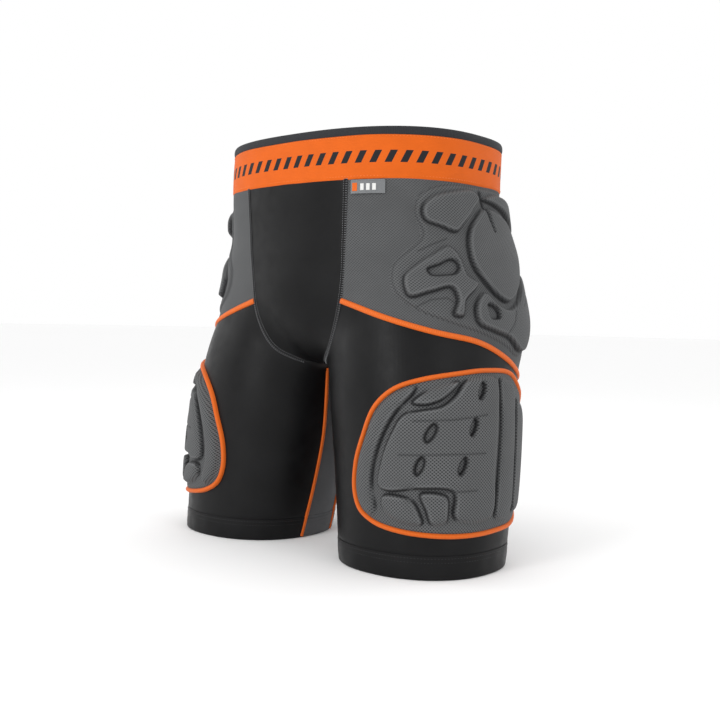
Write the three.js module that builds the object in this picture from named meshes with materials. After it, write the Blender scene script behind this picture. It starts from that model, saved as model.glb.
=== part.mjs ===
// Padded impact shorts: a stretch yoke, two legs, hip, thigh and tailbone pads.
// Frame: millimetres, +Z up, +X to the wearer's left, -Y to the front. The origin is the
// centre of the bounding box at the hems.
import * as THREE from 'three';
import { mergeVertices } from 'three/addons/utils/BufferGeometryUtils.js';
import { TessellateModifier } from 'three/addons/modifiers/TessellateModifier.js';

// ---- driving dimensions ---------------------------------------------------------------
const HEIGHT = 437;          // waist to hem
const WAISTBAND = 52;        // height of the elastic with its top edge
const TOP_EDGE = 8;          // dark welt on top of the elastic
const HEM = 22;              // hem band
const CROTCH = 192;          // inside leg length
const FLEX_FROM = 160;       // the leg bends above this height
const GAP = 0.35;            // clearance between neighbouring pieces
const FABRIC = 1.8;
const PAD_BACKING = [3.1, 4.7];   // layers above the skin, inner and outer face
const PAD_BLOCK = [6.4, 11.6];
const LOW_BLOCK = [6.4, 9.2];       // the thinner foam round the side
const PIPING = 5;            // width of the piping
const PIPING_LAYER = [0, 3.4];
const SEAM = 6;              // width of the flat pouch seam
const ARC = 90;              // nominal leg radius of the around-the-leg coordinate u
const Y_SHIFT = -6.75;        // moves the form so that its bounding box is centred on the origin
const BELT = HEIGHT - WAISTBAND;

// ---- the worn form --------------------------------------------------------------------
// Pelvis sections: height, half width, half depth, centre y
const PELVIS = [
  [150, 174, 84, 24], [190, 177, 96, 20], [250, 177, 114, 12.5], [310, 166, 118.5, 9],
  [340, 158, 117, 5.5], [BELT, 154, 114, 0], [HEIGHT, 153.5, 114, 1.5],
];
// Leg sections: height, centre x, centre y, half width, half depth
const LEG = [
  [0, 121, -35, 82, 81], [95, 113.5, -25, 89, 89], [190, 99, -10, 91, 102],
  [250, 86, 5, 88, 106], [310, 70, 10, 72, 90], [HEIGHT, 50, 0, 50, 60],
];
const PELVIS_POWER = 2.5;
const LEG_POWER = 2.2;
const CROTCH_BLEND = 30;
const UNION_BLEND = 16;

// Smooth value of column k of a table at height z
function along(table, z, k) {
  const last = table.length - 1;
  const at = Math.min(Math.max(z, table[0][0]), table[last][0]);
  let i = 0;
  while (i < last - 1 && at > table[i + 1][0]) i += 1;
  const slope = (j) => {
    const a = table[Math.max(j - 1, 0)];
    const b = table[Math.min(j + 1, last)];
    return (b[k] - a[k]) / (b[0] - a[0]);
  };
  const h = table[i + 1][0] - table[i][0];
  const t = (at - table[i][0]) / h;
  const s = t * t * (3 - 2 * t);
  const rise = t * (1 - t) * h;
  return table[i][k] * (1 - s) + table[i + 1][k] * s
    + rise * ((1 - t) * slope(i) - t * slope(i + 1));
}

function lobe(x, y, a, b, power) {
  const g = (Math.abs(x / a) ** power + Math.abs(y / b) ** power) ** (1 / power);
  return (g - 1) * Math.min(a, b);
}

function smoothMin(a, b, k) {
  const h = Math.max(k - Math.abs(a - b), 0) / k;
  return Math.min(a, b) - h * h * k * 0.25;
}

// Negative inside the wearer's form, zero on its skin
function field(x, y, z) {
  const pelvis = lobe(x, y - along(PELVIS, z, 3), along(PELVIS, z, 1), along(PELVIS, z, 2),
    PELVIS_POWER);
  const trunk = -smoothMin(-pelvis, z - CROTCH - 8, CROTCH_BLEND);
  const leg = lobe(Math.abs(x) - along(LEG, z, 1), y - along(LEG, z, 2), along(LEG, z, 3),
    along(LEG, z, 4), LEG_POWER);
  return smoothMin(trunk, leg, UNION_BLEND);
}

function fieldNormal(p) {
  const e = 0.4;
  return new THREE.Vector3(
    field(p.x + e, p.y, p.z) - field(p.x - e, p.y, p.z),
    field(p.x, p.y + e, p.z) - field(p.x, p.y - e, p.z),
    field(p.x, p.y, p.z + e) - field(p.x, p.y, p.z - e),
  ).normalize();
}

// Where a ray that starts inside the form leaves it, pushed out along the normal
function cast(origin, direction, offset, reach = 260) {
  let near = 0;
  let far = reach;
  const p = new THREE.Vector3();
  for (let i = 0; i < 32; i += 1) {
    const mid = (near + far) / 2;
    p.copy(origin).addScaledVector(direction, mid);
    if (field(p.x, p.y, p.z) < 0) near = mid;
    else far = mid;
  }
  return p.addScaledVector(fieldNormal(p), offset);
}

const radians = THREE.MathUtils.degToRad;
const lerp = THREE.MathUtils.lerp;

// Round the left leg: angle in degrees from the side seam, negative to the front
function legSkin(angle, z, offset) {
  const origin = new THREE.Vector3(along(LEG, z, 1), along(LEG, z, 2), z);
  const turn = radians(angle);
  const direction = new THREE.Vector3(Math.cos(turn), Math.sin(turn), 0);
  const toMiddle = direction.x < 0 ? origin.x / -direction.x : Infinity;
  return cast(origin, direction, offset, Math.min(260, toMiddle));
}

// Round the waist, from a centre between the hips
function waistSkin(angle, z, offset) {
  const turn = radians(angle);
  const origin = new THREE.Vector3(0, along(PELVIS, z, 3), z);
  return cast(origin, new THREE.Vector3(Math.cos(turn), Math.sin(turn), 0), offset);
}

// Straight to the front (facing -1) or to the back (facing 1)
function faceSkin(x, z, offset, facing) {
  const origin = new THREE.Vector3(x, along(PELVIS, z, 3), z);
  return cast(origin, new THREE.Vector3(0, facing, 0), offset);
}

// Under the crotch, along an arc from the front to the back
function crotchSkin(x, angle, offset) {
  const turn = radians(angle);
  const origin = new THREE.Vector3(x, along(PELVIS, CROTCH, 3), CROTCH + 40);
  return cast(origin, new THREE.Vector3(0, Math.sin(turn), -Math.cos(turn)), offset);
}

// Pad coordinates: u millimetres round the left leg from the side to the front, v up
const padSkin = (u, v, offset) => legSkin(-THREE.MathUtils.radToDeg(u / ARC), v, offset);

// ---- seam lines -----------------------------------------------------------------------
// Half width of the pouch and of the seat panel: height, half width
const POUCH = [[204, 22], [214, 39], [234, 52], [260, 61], [300, 66], [340, 68], [BELT, 70]];
const SEAT = [[204, 40], [240, 54], [300, 63], [BELT, 66]];
// Height of the hip piping: u, height
const HIP_LINE = [
  [-200, 210], [-165, 196], [-125, 186], [-95, 184], [-64, 190], [-40, 199], [-11, 211],
  [31, 226], [75, 235], [113, 247], [160, 266],
];
// Upper edge of the bending fabric inside the groin: angle from the side, height
const GROIN_FRONT = [[101, 252], [108, 229], [120, 208], [135, 198], [150, 194], [180, 191]];
const GROIN_BACK = [[118, 200], [135, 199], [150, 194], [180, 191]];
const GUSSET_FRONT = -170;
const GUSSET_BACK = 152;

// Half width of a panel at a height, widened by a margin measured square to its edge
function halfWidth(table, z, margin) {
  const slope = (along(table, z + 1, 1) - along(table, z - 1, 1)) / 2;
  return along(table, z, 1) + margin * Math.hypot(1, slope);
}

function seamAngle(table, facing, z, margin) {
  const p = faceSkin(halfWidth(table, z, margin), z, 0, facing);
  return THREE.MathUtils.radToDeg(
    Math.atan2(p.y - along(LEG, z, 2), p.x - along(LEG, z, 1)),
  );
}
const pouchAngle = (z, margin) => seamAngle(POUCH, -1, z, margin);
const seatAngle = (z, margin) => seamAngle(SEAT, 1, z, margin);
const hipLine = (angle) => along(HIP_LINE, -radians(angle) * ARC, 1);

function groinTop(angle) {
  const rim = hipLine(angle) - PIPING / 2 - 2 * GAP;
  if (angle < -GROIN_FRONT[0][0]) return along(GROIN_FRONT, -angle, 1);
  if (angle > GROIN_BACK[0][0]) return along(GROIN_BACK, angle, 1);
  return rim;
}

// ---- making solids --------------------------------------------------------------------
function signedVolume(geometry) {
  const { position } = geometry.attributes;
  const [a, b, c] = [0, 1, 2].map(() => new THREE.Vector3());
  let sum = 0;
  for (let i = 0; i < geometry.index.count; i += 3) {
    a.fromBufferAttribute(position, geometry.index.getX(i));
    b.fromBufferAttribute(position, geometry.index.getX(i + 1));
    c.fromBufferAttribute(position, geometry.index.getX(i + 2));
    sum += a.dot(b.cross(c));
  }
  return sum / 6;
}

function turnInsideOut(geometry) {
  const index = geometry.index.array;
  for (let i = 0; i < index.length; i += 3) {
    const first = index[i];
    index[i] = index[i + 1];
    index[i + 1] = first;
  }
}

// Moves every vertex of a closed geometry by place(vertex) and joins shared vertices
function bend(geometry, place, tolerance = 1e-3) {
  geometry.deleteAttribute('normal');
  geometry.deleteAttribute('uv');
  const solid = mergeVertices(geometry, tolerance);
  const { position } = solid.attributes;
  const v = new THREE.Vector3();
  for (let i = 0; i < position.count; i += 1) {
    v.fromBufferAttribute(position, i);
    const p = place(v);
    position.setXYZ(i, p.x, p.y + Y_SHIFT, p.z);
  }
  if (signedVolume(solid) < 0) turnInsideOut(solid);
  solid.computeVertexNormals();
  return solid;
}

// A four-sided sheet: place(a, b, offset) with a and b from 0 to 1
function sheet(across, up, layer, place) {
  const box = new THREE.BoxGeometry(1, 1, 1, across, up, 1);
  return bend(box, (v) => place(v.x + 0.5, v.y + 0.5, lerp(layer[0], layer[1], v.z + 0.5)));
}

// A closed band: place(turn, b, offset) with turn from 0 to 360 degrees and b from 0 to 1
function band(around, up, layer, place) {
  const profile = [];
  for (let i = 0; i <= up; i += 1) profile.push(new THREE.Vector2(2, i / up));
  for (let i = up; i >= 0; i -= 1) profile.push(new THREE.Vector2(1, i / up));
  profile.push(profile[0].clone());
  const ring = new THREE.LatheGeometry(profile, around);
  return bend(ring, (v) => {
    const turn = THREE.MathUtils.radToDeg(Math.atan2(v.z, v.x));
    return place(turn, v.y, lerp(layer[0], layer[1], Math.hypot(v.x, v.z) - 1));
  });
}

// A strip of the given width along a path of skin points
function stripPlacer(path, width) {
  return (t, b, offset) => {
    const step = 1e-3;
    const before = path(Math.max(t - step, 0));
    const after = path(Math.min(t + step, 1));
    const p = path(t);
    const normal = fieldNormal(p);
    const side = new THREE.Vector3().crossVectors(normal, after.sub(before)).normalize();
    return p.addScaledVector(side, (b - 0.5) * width).addScaledVector(normal, offset);
  };
}

function strip(path, width, layer, steps) {
  return sheet(steps, 1, layer, stripPlacer(path, width));
}

const roundTrip = (points) => {
  const corners = points.map(([u, v]) => new THREE.Vector3(u, v, 0));
  return new THREE.CatmullRomCurve3(corners, true, 'centripetal');
};

// A pad piece: a closed outline in pad coordinates, with its windows, laid on the skin
function padPiece(outline, layer, skin = padSkin, windows = [], steps = 22, maxEdge = 28) {
  const flat = (points, count) => roundTrip(points).getPoints(count)
    .slice(0, count)
    .map((p) => new THREE.Vector2(p.x, p.y));
  const shape = new THREE.Shape(flat(outline, steps));
  shape.holes = windows.map((w) => new THREE.Path(flat(w, w.length)));
  const slab = new THREE.ExtrudeGeometry(shape, { depth: 1, bevelEnabled: false });
  slab.deleteAttribute('normal');
  slab.deleteAttribute('uv');
  const fine = new TessellateModifier(maxEdge, 14).modify(slab);
  return bend(fine, (v) => skin(v.x, v.y, lerp(layer[0], layer[1], v.z)));
}

// An oval window of a pad piece, leaning to the front by lean millimetres
function slot(u, v, length, width, lean) {
  const half = length / 2;
  return [
    [u + lean, v + half], [u + width / 2, v + half * 0.4], [u - lean + width / 2, v - half * 0.6],
    [u - lean, v - half], [u - width / 2, v - half * 0.4], [u + lean - width / 2, v + half * 0.6],
  ];
}

// ---- materials ------------------------------------------------------------------------
const paint = (color, roughness) => () => new THREE.MeshStandardMaterial({ color, roughness });
const blackKnit = paint(0x232324, 0.75);
const greyMesh = paint(0x606163, 0.85);
const padGrey = paint(0x57585a, 0.8);
const orangeElastic = paint(0xf0672b, 0.7);
const darkEdge = paint(0x363739, 0.8);
const labelGrey = paint(0x8a8c8e, 0.8);

const shorts = new THREE.Group();
const SIDES = [['left', 1], ['right', -1]];

function add(name, geometry, material) {
  const mesh = new THREE.Mesh(geometry, material());
  mesh.name = name;
  shorts.add(mesh);
}

// The same piece on the other side of the body
function mirrored(geometry) {
  const copy = geometry.clone();
  copy.scale(-1, 1, 1);
  turnInsideOut(copy);
  return copy;
}

function addPair(name, geometry, material) {
  for (const [side, sign] of SIDES) {
    add(`${name}_${side}`, sign > 0 ? geometry : mirrored(geometry), material);
  }
}

// ---- waistband ------------------------------------------------------------------------
function waistband() {
  const ring = (low, high, layer) => band(36, 1, layer, (turn, b, offset) => (
    waistSkin(turn, lerp(low, high, b), offset).setZ(lerp(low, high, b))
  ));
  const split = HEIGHT - TOP_EDGE;
  add('waistband_elastic', ring(BELT, split - GAP, [0, 2.6]), orangeElastic);
  add('waistband_top_edge', ring(split, HEIGHT, [-0.4, 3]), darkEdge);
}

// The label hangs from the lower edge of the elastic beside the pouch seam
function sizeLabel() {
  const [width, height, from] = [32, 13, 75];
  add('size_label', sheet(2, 1, [2.6, 3.2], (a, b, offset) => (
    faceSkin(from + a * width, BELT - 1.2 - (1 - b) * height, offset, -1)
  )), labelGrey);
}

// ---- yoke -----------------------------------------------------------------------------
function centrePanel(table, facing, layer, across) {
  const low = table[0][0];
  const high = BELT - GAP;
  const edge = facing < 0 ? SEAM / 2 + 4 * GAP : 3 * GAP;
  return sheet(across, 8, layer, (a, b, offset) => {
    const z = lerp(low, high, b);
    return faceSkin(halfWidth(table, z, -edge) * (2 * a - 1), z, offset, facing);
  });
}

function hipPanel() {
  const high = BELT - GAP;
  return sheet(12, 6, [0, FABRIC], (a, b, offset) => {
    let z = lerp(hipLine(0), high, b);
    let angle = 0;
    for (let i = 0; i < 6; i += 1) {
      angle = lerp(pouchAngle(z, SEAM / 2 + 2 * GAP), seatAngle(z, 4 * GAP), a);
      z = lerp(hipLine(angle) + PIPING / 2 + 2 * GAP, high, b);
    }
    return legSkin(angle, z, offset);
  });
}

function yoke() {
  add('front_pouch', centrePanel(POUCH, -1, [0, FABRIC], 6), blackKnit);
  add('front_pouch_lining', centrePanel(POUCH, -1, [-2.9, -1.7], 6), blackKnit);
  add('seat_panel', centrePanel(SEAT, 1, [0, FABRIC], 6), blackKnit);
  addPair('hip_panel', hipPanel(), greyMesh);

  const seamPath = (t) => {
    const z = lerp(POUCH[0][0], BELT - GAP, t);
    return faceSkin(along(POUCH, z, 1), z, 0, -1);
  };
  addPair('pouch_seam', strip(seamPath, SEAM, [0, 2.6], 14), blackKnit);

  const [from, to] = [pouchAngle(262, SEAM), seatAngle(206, GAP)];
  const hipPath = (t) => {
    const angle = lerp(from, to, t);
    return legSkin(angle, hipLine(angle), 0);
  };
  addPair('hip_piping', strip(hipPath, PIPING, PIPING_LAYER, 22), orangeElastic);

  add('crotch_gusset', sheet(1, 6, [0, FABRIC], (a, b, offset) => (
    crotchSkin(lerp(-5, 5, a), lerp(-56, 56, b), offset)
  )), greyMesh);
}

// ---- pads, in pad coordinates u (to the front) and v (up) -------------------------------
const HIP_PAD = {
  backing: [
    [16, 384], [55, 381], [74, 370], [80, 352], [76, 330], [104, 300], [106, 274], [88, 255],
    [60, 243], [30, 234], [8, 227], [-14, 219], [-28, 212], [-44, 211], [-58, 224], [-84, 250],
    [-104, 280], [-100, 310], [-86, 335], [-88, 358], [-70, 376], [-34, 383],
  ],
  blocks: {
    upper_front: {
      outline: [[64, 368], [44, 375], [21, 378], [14, 371], [23, 359], [37, 343], [46, 334],
        [60, 339], [72, 345], [73, 357]],
    },
    upper_rear: {
      outline: [[5, 371], [-16, 378], [-46, 376], [-68, 366], [-78, 350], [-70, 341],
        [-58, 348], [-38, 360], [-14, 367]],
    },
    centre: {
      outline: [[8, 361], [20, 351], [31, 336], [36, 317], [33, 300], [21, 284], [3, 270],
        [-12, 266], [-32, 279], [-48, 304], [-52, 330], [-40, 350], [-12, 361]],
    },
    front: {
      outline: [[96, 287], [86, 299], [70, 311], [55, 319], [47, 309], [42, 292], [31, 283],
        [46, 265], [50, 250], [58, 251], [54, 266], [58, 278], [76, 273], [94, 268]],
      windows: [[[73, 297], [58, 305], [51, 301], [54, 293], [70, 289]]],
    },
    lower: {
      outline: [[24, 274], [8, 263], [-12, 258], [-30, 266], [-56, 290], [-72, 300],
        [-90, 284], [-84, 266], [-62, 246], [-48, 226], [-38, 217], [-28, 218],
        [-8, 230], [14, 236], [34, 244], [36, 260]],
      windows: [[[23, 262], [10, 258], [8, 249], [21, 249]]],
    },
  },
};

const THIGH_PAD = {
  edge: [
    [-20, 195], [22, 198], [54, 195], [86, 189], [108, 180], [127, 162], [142, 134],
    [155, 105], [159, 79], [153, 62], [137, 52], [111, 46], [58, 42], [2, 43], [-42, 46],
    [-72, 58], [-84, 82], [-88, 115], [-83, 144], [-66, 167], [-44, 181],
  ],
  blocks: {
    rim: {
      outline: [[90, 183], [108, 175], [124, 157], [138, 132], [150, 104], [153, 80],
        [147, 65], [134, 58], [131, 66], [134, 84], [131, 106], [119, 136], [105, 160],
        [92, 176]],
    },
    upper_leaf: {
      outline: [[93, 167], [83, 177], [68, 184], [53, 187], [62, 176], [71, 169], [84, 165]],
    },
    main: {
      outline: [[100, 156], [86, 160], [69, 164], [58, 173], [47, 188], [36, 190], [10, 190],
        [8, 180], [8, 148], [12, 101], [13, 62], [18, 56], [50, 56], [56, 62], [57, 84],
        [86, 87], [116, 83], [126, 87], [121, 114], [111, 138]],
      windows: [slot(78, 139, 17, 5.5, -3), slot(40, 144, 17, 5, -2), slot(87, 108, 17, 5.5, -2),
        slot(50, 108, 17, 5, -2), slot(31, 178, 17, 5, -2)],
    },
    lower_leaf: {
      outline: [[121, 78], [104, 79], [93, 75], [86, 63], [84, 54], [98, 53], [113, 58], [123, 68]],
    },
    lower_middle: {
      outline: [[86, 82], [63, 80], [61, 66], [63, 55], [76, 54], [81, 66]],
    },
    side: {
      layer: LOW_BLOCK,
      outline: [[1, 189], [-12, 188], [-24, 182], [-25, 150], [-23, 100], [-22, 62],
        [-16, 55], [5, 55], [7, 62], [5, 101], [1, 148]],
    },
    rear: {
      layer: LOW_BLOCK,
      outline: [[-30, 168], [-44, 164], [-60, 150], [-71, 128], [-76, 104], [-72, 78],
        [-58, 62], [-32, 57], [-27, 64], [-27, 110], [-29, 150]],
    },
  },
};

const TAILBONE_PAD = {
  backing: [
    [0, 360], [28, 356], [46, 340], [50, 310], [40, 276], [20, 244], [0, 234], [-20, 244],
    [-40, 276], [-50, 310], [-46, 340], [-28, 356],
  ],
  wing: [[5, 350], [26, 346], [39, 332], [42, 310], [34, 296], [16, 304], [5, 318]],
  tip: [[0, 308], [14, 292], [28, 284], [22, 264], [9, 246], [0, 242], [-9, 246],
    [-22, 264], [-28, 284], [-14, 292]],
};

// The same outline, pulled towards its middle by the given distance
function inset(points, distance) {
  const middle = roundTrip(points);
  return points.map((_, i) => {
    const t = middle.getPoint(i / points.length);
    const tangent = middle.getTangent(i / points.length);
    return [t.x + tangent.y * distance, t.y - tangent.x * distance];
  });
}

function pads() {
  addPair('hip_pad_backing', padPiece(HIP_PAD.backing, PAD_BACKING, padSkin, [], 32), greyMesh);
  for (const [name, block] of Object.entries(HIP_PAD.blocks)) {
    addPair(`hip_pad_${name}`, padPiece(block.outline, PAD_BLOCK, padSkin, block.windows), padGrey);
  }
  const back = (x, z, offset) => faceSkin(x, z, offset, 1);
  const wing = padPiece(TAILBONE_PAD.wing, PAD_BLOCK, back, [], 16);
  add('tailbone_pad_backing', padPiece(TAILBONE_PAD.backing, PAD_BACKING, back), greyMesh);
  addPair('tailbone_pad_wing', wing, padGrey);
  add('tailbone_pad_tip', padPiece(TAILBONE_PAD.tip, PAD_BLOCK, back, [], 20), padGrey);
}

function thighPad() {
  const edge = roundTrip(THIGH_PAD.edge);
  const loop = (t) => {
    const p = edge.getPointAt(((t % 1) + 1) % 1);
    return padSkin(p.x, p.y, 0);
  };
  const place = stripPlacer(loop, PIPING);
  addPair('thigh_pad_piping', band(44, 1, [FABRIC + 0.5, 6.2], (turn, b, offset) => (
    place(Math.min(((turn + 360) % 360) / 360, 1), b, offset)
  )), orangeElastic);
  const inside = PIPING / 2 + 3 * GAP;
  addPair('thigh_pad_backing',
    padPiece(inset(THIGH_PAD.edge, inside), PAD_BACKING, padSkin, [], 36), greyMesh);
  for (const [name, block] of Object.entries(THIGH_PAD.blocks)) {
    const piece = padPiece(block.outline, block.layer ?? PAD_BLOCK, padSkin, block.windows);
    addPair(`thigh_pad_${name}`, piece, padGrey);
  }
}

// ---- legs -----------------------------------------------------------------------------
function legs() {
  const hem = band(26, 1, [-0.6, FABRIC], (turn, b, offset) => (
    legSkin(turn, b * (HEM - GAP), offset).setZ(b * (HEM - GAP))
  ));
  const flex = band(28, 3, [0, FABRIC], (turn, b, offset) => (
    legSkin(turn, lerp(FLEX_FROM + GAP, groinTop(turn), b), offset)
  ));
  addPair('hem_band', hem, blackKnit);
  addPair('groin_flex', flex, blackKnit);

  const half = THREE.MathUtils.radToDeg((PIPING / 2 + GAP) / ARC);
  const panel = (from, to, across) => sheet(across, 5, [0, FABRIC], (a, b, offset) => (
    legSkin(lerp(from, to, a), lerp(HEM, FLEX_FROM, b), offset)
  ));
  addPair('thigh_panel', panel(GUSSET_FRONT + half, GUSSET_BACK - half, 22), blackKnit);
  addPair('inner_thigh_panel', panel(GUSSET_BACK + half, GUSSET_FRONT + 360 - half, 3), greyMesh);
  for (const [name, angle] of [['front', GUSSET_FRONT], ['rear', GUSSET_BACK]]) {
    const path = (t) => legSkin(angle, lerp(HEM + GAP, FLEX_FROM - GAP, t), 0);
    addPair(`inner_piping_${name}`, strip(path, PIPING, PIPING_LAYER, 6), orangeElastic);
  }
}

waistband();
sizeLabel();
yoke();
pads();
thighPad();
legs();

export default shorts;
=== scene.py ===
"""Padded impact shorts: the looks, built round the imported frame.

Lengths are millimetres until a mesh is made."""
import math

import bpy
import numpy as np
from mathutils import Matrix, Vector


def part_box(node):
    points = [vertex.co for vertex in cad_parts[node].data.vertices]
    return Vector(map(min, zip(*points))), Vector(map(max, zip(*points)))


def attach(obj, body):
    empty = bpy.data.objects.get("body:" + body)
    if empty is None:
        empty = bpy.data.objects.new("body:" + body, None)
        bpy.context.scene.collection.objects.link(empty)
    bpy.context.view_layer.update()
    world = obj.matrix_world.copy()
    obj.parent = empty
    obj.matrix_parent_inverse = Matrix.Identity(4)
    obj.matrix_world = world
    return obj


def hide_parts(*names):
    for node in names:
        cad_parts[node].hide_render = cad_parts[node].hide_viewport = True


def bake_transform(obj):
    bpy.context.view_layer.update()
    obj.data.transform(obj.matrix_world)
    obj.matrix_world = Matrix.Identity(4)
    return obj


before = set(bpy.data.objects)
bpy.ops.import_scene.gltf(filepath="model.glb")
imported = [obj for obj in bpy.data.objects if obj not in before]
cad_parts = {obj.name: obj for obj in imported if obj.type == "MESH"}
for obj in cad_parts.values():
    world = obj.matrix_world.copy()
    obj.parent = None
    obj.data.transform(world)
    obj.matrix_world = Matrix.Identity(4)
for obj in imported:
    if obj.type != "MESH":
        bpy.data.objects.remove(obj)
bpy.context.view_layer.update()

MM = 0.001
SIDES = (("left", 1), ("right", -1))

# ---- driving dimensions, as in the part's source --------------------------------------
HEIGHT, WAISTBAND, TOP_EDGE, HEM, CROTCH = 437.0, 52.0, 8.0, 22.0, 192.0
BELT = HEIGHT - WAISTBAND
ARC = 90.0                      # nominal leg radius of the around-the-leg coordinate u
FABRIC = (0.2, 1.4)             # inner and outer face of the stretch fabric above the form
PELVIS = np.array([
    [150, 174, 84, 24], [190, 177, 96, 20], [250, 177, 114, 12.5], [310, 166, 118.5, 9],
    [340, 158, 117, 5.5], [BELT, 154, 114, 0], [HEIGHT, 153.5, 114, 1.5]], float)
LEG = np.array([
    [0, 121, -35, 82, 81], [95, 113.5, -25, 89, 89], [190, 99, -10, 91, 102],
    [250, 86, 5, 88, 106], [310, 70, 10, 72, 90], [HEIGHT, 50, 0, 50, 60]], float)
PELVIS_POWER, LEG_POWER = 2.5, 2.2
CROTCH_BLEND, UNION_BLEND = 30.0, 16.0
POUCH = [[200, 14], [204, 23], [214, 39], [234, 52], [260, 61], [300, 66], [340, 68], [BELT, 70]]
SEAT = [[200, 38], [204, 40], [240, 54], [300, 63], [BELT, 66]]
HIP_LINE = [
    [-200, 210], [-165, 196], [-125, 186], [-95, 184], [-64, 190], [-40, 199], [-11, 211],
    [31, 226], [75, 235], [113, 247], [160, 266]]
GROIN_BACK = [[118, 203], [135, 201], [150, 197], [180, 194]]
GUSSET_FRONT = [[0, -170], [60, -173], [110, -172], [150, -167], [196, -159]]
GUSSET_BACK = [[0, 152], [196, 152]]

Y_SHIFT = -6.75                 # the form's own origin in the frame, front to back


# ---- the worn form --------------------------------------------------------------------
def along(table, at, column=1):
    """Smooth value of a table's column at the given places along its first column."""
    table = np.asarray(table, float)
    xs, v = table[:, 0], table[:, column]
    slope = np.empty(len(v))
    slope[1:-1] = (v[2:] - v[:-2]) / (xs[2:] - xs[:-2])
    slope[0] = (v[1] - v[0]) / (xs[1] - xs[0])
    slope[-1] = (v[-1] - v[-2]) / (xs[-1] - xs[-2])
    at = np.clip(at, xs[0], xs[-1])
    i = np.clip(np.searchsorted(xs, at, side="right") - 1, 0, len(xs) - 2)
    h = xs[i + 1] - xs[i]
    t = (at - xs[i]) / h
    s = t * t * (3 - 2 * t)
    lean = (1 - t) * slope[i] - t * slope[i + 1]
    return v[i] * (1 - s) + v[i + 1] * s + t * (1 - t) * h * lean


def lobe(x, y, a, b, power):
    g = (np.abs(x / a) ** power + np.abs(y / b) ** power) ** (1 / power)
    return (g - 1) * np.minimum(a, b)


def smooth_min(a, b, k):
    h = np.maximum(k - np.abs(a - b), 0) / k
    return np.minimum(a, b) - h * h * k * 0.25


def field(p):
    """Negative inside the wearer's form, zero on its skin."""
    x, y, z = p[..., 0], p[..., 1], p[..., 2]
    pelvis = lobe(x, y - along(PELVIS, z, 3), along(PELVIS, z, 1), along(PELVIS, z, 2),
                  PELVIS_POWER)
    trunk = -smooth_min(-pelvis, z - CROTCH - 8, CROTCH_BLEND)
    leg = lobe(np.abs(x) - along(LEG, z, 1), y - along(LEG, z, 2), along(LEG, z, 3),
               along(LEG, z, 4), LEG_POWER)
    return smooth_min(trunk, leg, UNION_BLEND)


def normals(p):
    nudges = 0.4 * np.eye(3)
    n = np.stack([field(p + nudge) - field(p - nudge) for nudge in nudges], -1)
    return n / np.linalg.norm(n, axis=-1, keepdims=True)


def cast(origin, direction, reach):
    """Where rays that start inside the form leave it: points and normals."""
    near = np.zeros(origin.shape[:-1])
    far = np.broadcast_to(np.asarray(reach, float), near.shape).copy()
    for _ in range(26):
        mid = (near + far) / 2
        inside = field(origin + direction * mid[..., None]) < 0
        near = np.where(inside, mid, near)
        far = np.where(inside, far, mid)
    p = origin + direction * ((near + far) / 2)[..., None]
    return p, normals(p)


REACH = 260.0


def leg_skin(angle, z):
    """Round the left leg: degrees from the side seam, negative to the front."""
    angle, z = np.broadcast_arrays(np.asarray(angle, float), np.asarray(z, float))
    turn = np.radians(angle)
    origin = np.stack([along(LEG, z, 1), along(LEG, z, 2), z], -1)
    direction = np.stack([np.cos(turn), np.sin(turn), 0 * turn], -1)
    inward = np.minimum(direction[..., 0], -1e-6)
    return cast(origin, direction, np.minimum(REACH, origin[..., 0] / -inward))


def waist_skin(angle, z):
    turn, z = np.broadcast_arrays(np.radians(angle), np.asarray(z, float))
    origin = np.stack([0 * z, along(PELVIS, z, 3), z], -1)
    return cast(origin, np.stack([np.cos(turn), np.sin(turn), 0 * turn], -1), REACH)


def face_skin(x, z, facing):
    x, z = np.broadcast_arrays(np.asarray(x, float), np.asarray(z, float))
    origin = np.stack([x, along(PELVIS, z, 3), z], -1)
    return cast(origin, np.broadcast_to(np.array([0.0, facing, 0.0]), origin.shape), REACH)


def crotch_skin(x, angle):
    x, turn = np.broadcast_arrays(np.asarray(x, float), np.radians(angle))
    origin = np.stack([x, 0 * x + along(PELVIS, CROTCH, 3), 0 * x + CROTCH + 40], -1)
    return cast(origin, np.stack([0 * x, np.sin(turn), -np.cos(turn)], -1), REACH)


def pad_skin(u, v):
    """Pad coordinates: u millimetres round the left leg from the side to the front, v up."""
    return leg_skin(-np.degrees(u / ARC), v)


def seat_skin(x, z):
    return face_skin(x, z, 1)


def seam_angle(table, facing, z, margin):
    slope = (along(table, z + 1) - along(table, z - 1)) / 2
    p, _ = face_skin(along(table, z) + margin * np.hypot(1, slope), z, facing)
    return np.degrees(np.arctan2(p[..., 1] - along(LEG, z, 2), p[..., 0] - along(LEG, z, 1)))


def hip_line(angle):
    return along(HIP_LINE, -np.radians(angle) * ARC)


# ---- outlines -------------------------------------------------------------------------
def round_trip(points, count=160):
    """A closed centripetal Catmull-Rom curve through the points."""
    p = np.asarray(points, float)
    n = len(p)
    out = []
    for i in range(n):
        p0, p1, p2, p3 = (p[(i + k) % n] for k in (-1, 0, 1, 2))
        d = [max(np.linalg.norm(b - a) ** 0.5, 1e-3) for a, b in ((p0, p1), (p1, p2), (p2, p3))]
        m1 = (p1 - p0) / d[0] - (p2 - p0) / (d[0] + d[1]) + (p2 - p1) / d[1]
        m2 = (p2 - p1) / d[1] - (p3 - p1) / (d[1] + d[2]) + (p3 - p2) / d[2]
        m1, m2 = m1 * d[1], m2 * d[1]
        t = np.linspace(0, 1, max(count // n, 3), endpoint=False)[:, None]
        out.append((2 * t**3 - 3 * t**2 + 1) * p1 + (t**3 - 2 * t**2 + t) * m1
                   + (-2 * t**3 + 3 * t**2) * p2 + (t**3 - t**2) * m2)
    return np.concatenate(out)


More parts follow.
